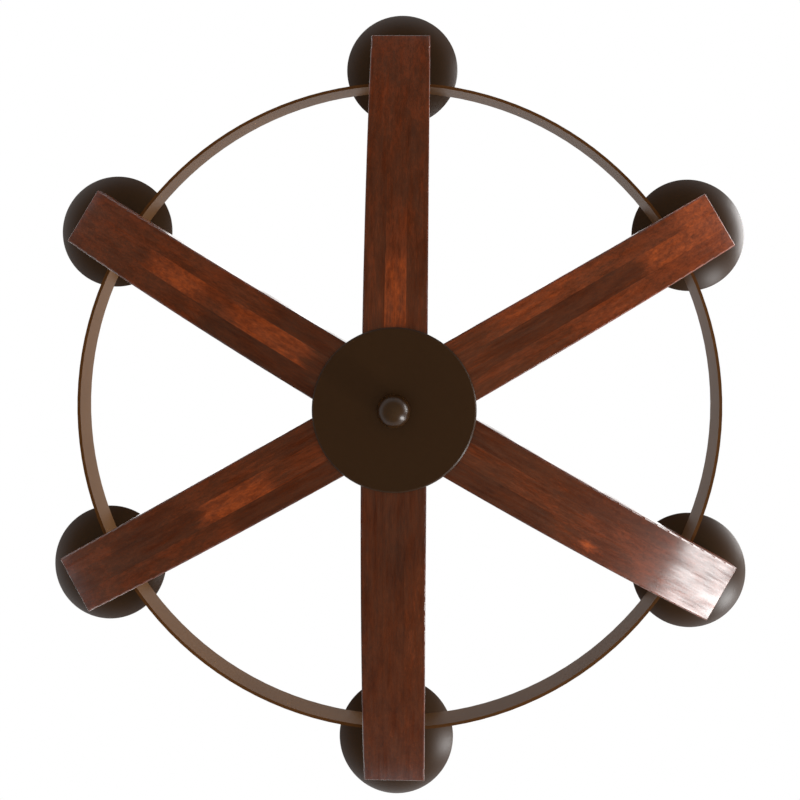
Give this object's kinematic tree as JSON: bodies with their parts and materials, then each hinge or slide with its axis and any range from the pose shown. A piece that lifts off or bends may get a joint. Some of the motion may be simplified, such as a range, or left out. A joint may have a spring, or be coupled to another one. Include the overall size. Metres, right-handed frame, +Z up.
{
  "type": "wagon wheel chandelier",
  "caption": "Wheel-shaped chandelier: bowed wooden arms on a steel hub, a flat steel ring and a pan with a candle light at each arm's end, on a rigid stem and swivel canopy.",
  "frame": {"origin": "on the chandelier's axis, in the plane where the crossbar and the canopy's rim meet the ceiling", "axes": "+Z up into the ceiling, +X along the crossbar's slots, the first arm at 90 degrees from +X"},
  "size_m": [0.772, 0.872, 0.6799],
  "materials": {
    "stained_wood": "red-brown stained hardwood strips under satin lacquer",
    "bronze_paint": "satin dark bronze paint on steel",
    "dark_steel": "thin dark bronze paint on flat steel",
    "zinc_steel": "zinc-plated steel",
    "candle_sleeve": "ivory, slightly waxy",
    "bulb_glass": "clear thin glass",
    "bulb_base_metal": "bright rolled metal",
    "socket_plastic": "black moulded plastic",
    "lead_insulation": "brown insulation"
  },
  "bodies": {
    "ceiling_mount": {"crossbar": "zinc_steel", "mount_nipple": "zinc_steel", "mount_nut": "zinc_steel", "canopy": "bronze_paint", "canopy_screws": "bronze_paint", "swivel_body": "bronze_paint", "swivel_cap": "bronze_paint", "stop_screw": "zinc_steel"},
    "swivel": {"swivel_yoke": "bronze_paint", "tilt_pin": "bronze_paint"},
    "chandelier": {"arm_1": "stained_wood", "arm_2": "stained_wood", "arm_3": "stained_wood", "arm_4": "stained_wood", "arm_5": "stained_wood", "arm_6": "stained_wood", "arm_leads": "lead_insulation", "bracket_screws": "zinc_steel", "bulb_1": "bulb_glass", "bulb_2": "bulb_glass", "bulb_3": "bulb_glass", "bulb_4": "bulb_glass", "bulb_5": "bulb_glass", "bulb_6": "bulb_glass", "bulb_bases": "bulb_base_metal", "candle_cups": "bronze_paint", "candle_nipples": "zinc_steel", "candle_sleeve_1": "candle_sleeve", "candle_sleeve_2": "candle_sleeve", "candle_sleeve_3": "candle_sleeve", "candle_sleeve_4": "candle_sleeve", "candle_sleeve_5": "candle_sleeve", "candle_sleeve_6": "candle_sleeve", "center_rod": "zinc_steel", "column_base": "bronze_paint", "column_cap": "bronze_paint", "column_tube": "bronze_paint", "finial": "bronze_paint", "hub_bolts": "zinc_steel", "hub_core": "dark_steel", "hub_cover": "bronze_paint", "hub_lower_plate": "dark_steel", "hub_nuts": "zinc_steel", "hub_top_plate": "dark_steel", "nipple_nuts": "zinc_steel", "pan_1": "bronze_paint", "pan_2": "bronze_paint", "pan_3": "bronze_paint", "pan_4": "bronze_paint", "pan_5": "bronze_paint", "pan_6": "bronze_paint", "pan_posts": "bronze_paint", "post_screws": "zinc_steel", "ring": "bronze_paint", "ring_brackets": "dark_steel", "ring_rivets": "dark_steel", "sockets": "socket_plastic", "stem": "bronze_paint", "stem_knuckle": "bronze_paint", "wire_strips": "dark_steel"}
  },
  "joints": [
    {"name": "swivel_turn", "type": "hinge", "parent": "ceiling_mount", "child": "swivel", "pos_m": [0, 0, -0.0215], "axis": [0, 0, 1], "range_deg": [-160, 160]},
    {"name": "stem_tilt", "type": "hinge", "parent": "swivel", "child": "chandelier", "pos_m": [0, 0, -0.05], "axis": [0, 1, 0], "range_deg": [-25, 25]}
  ]
}
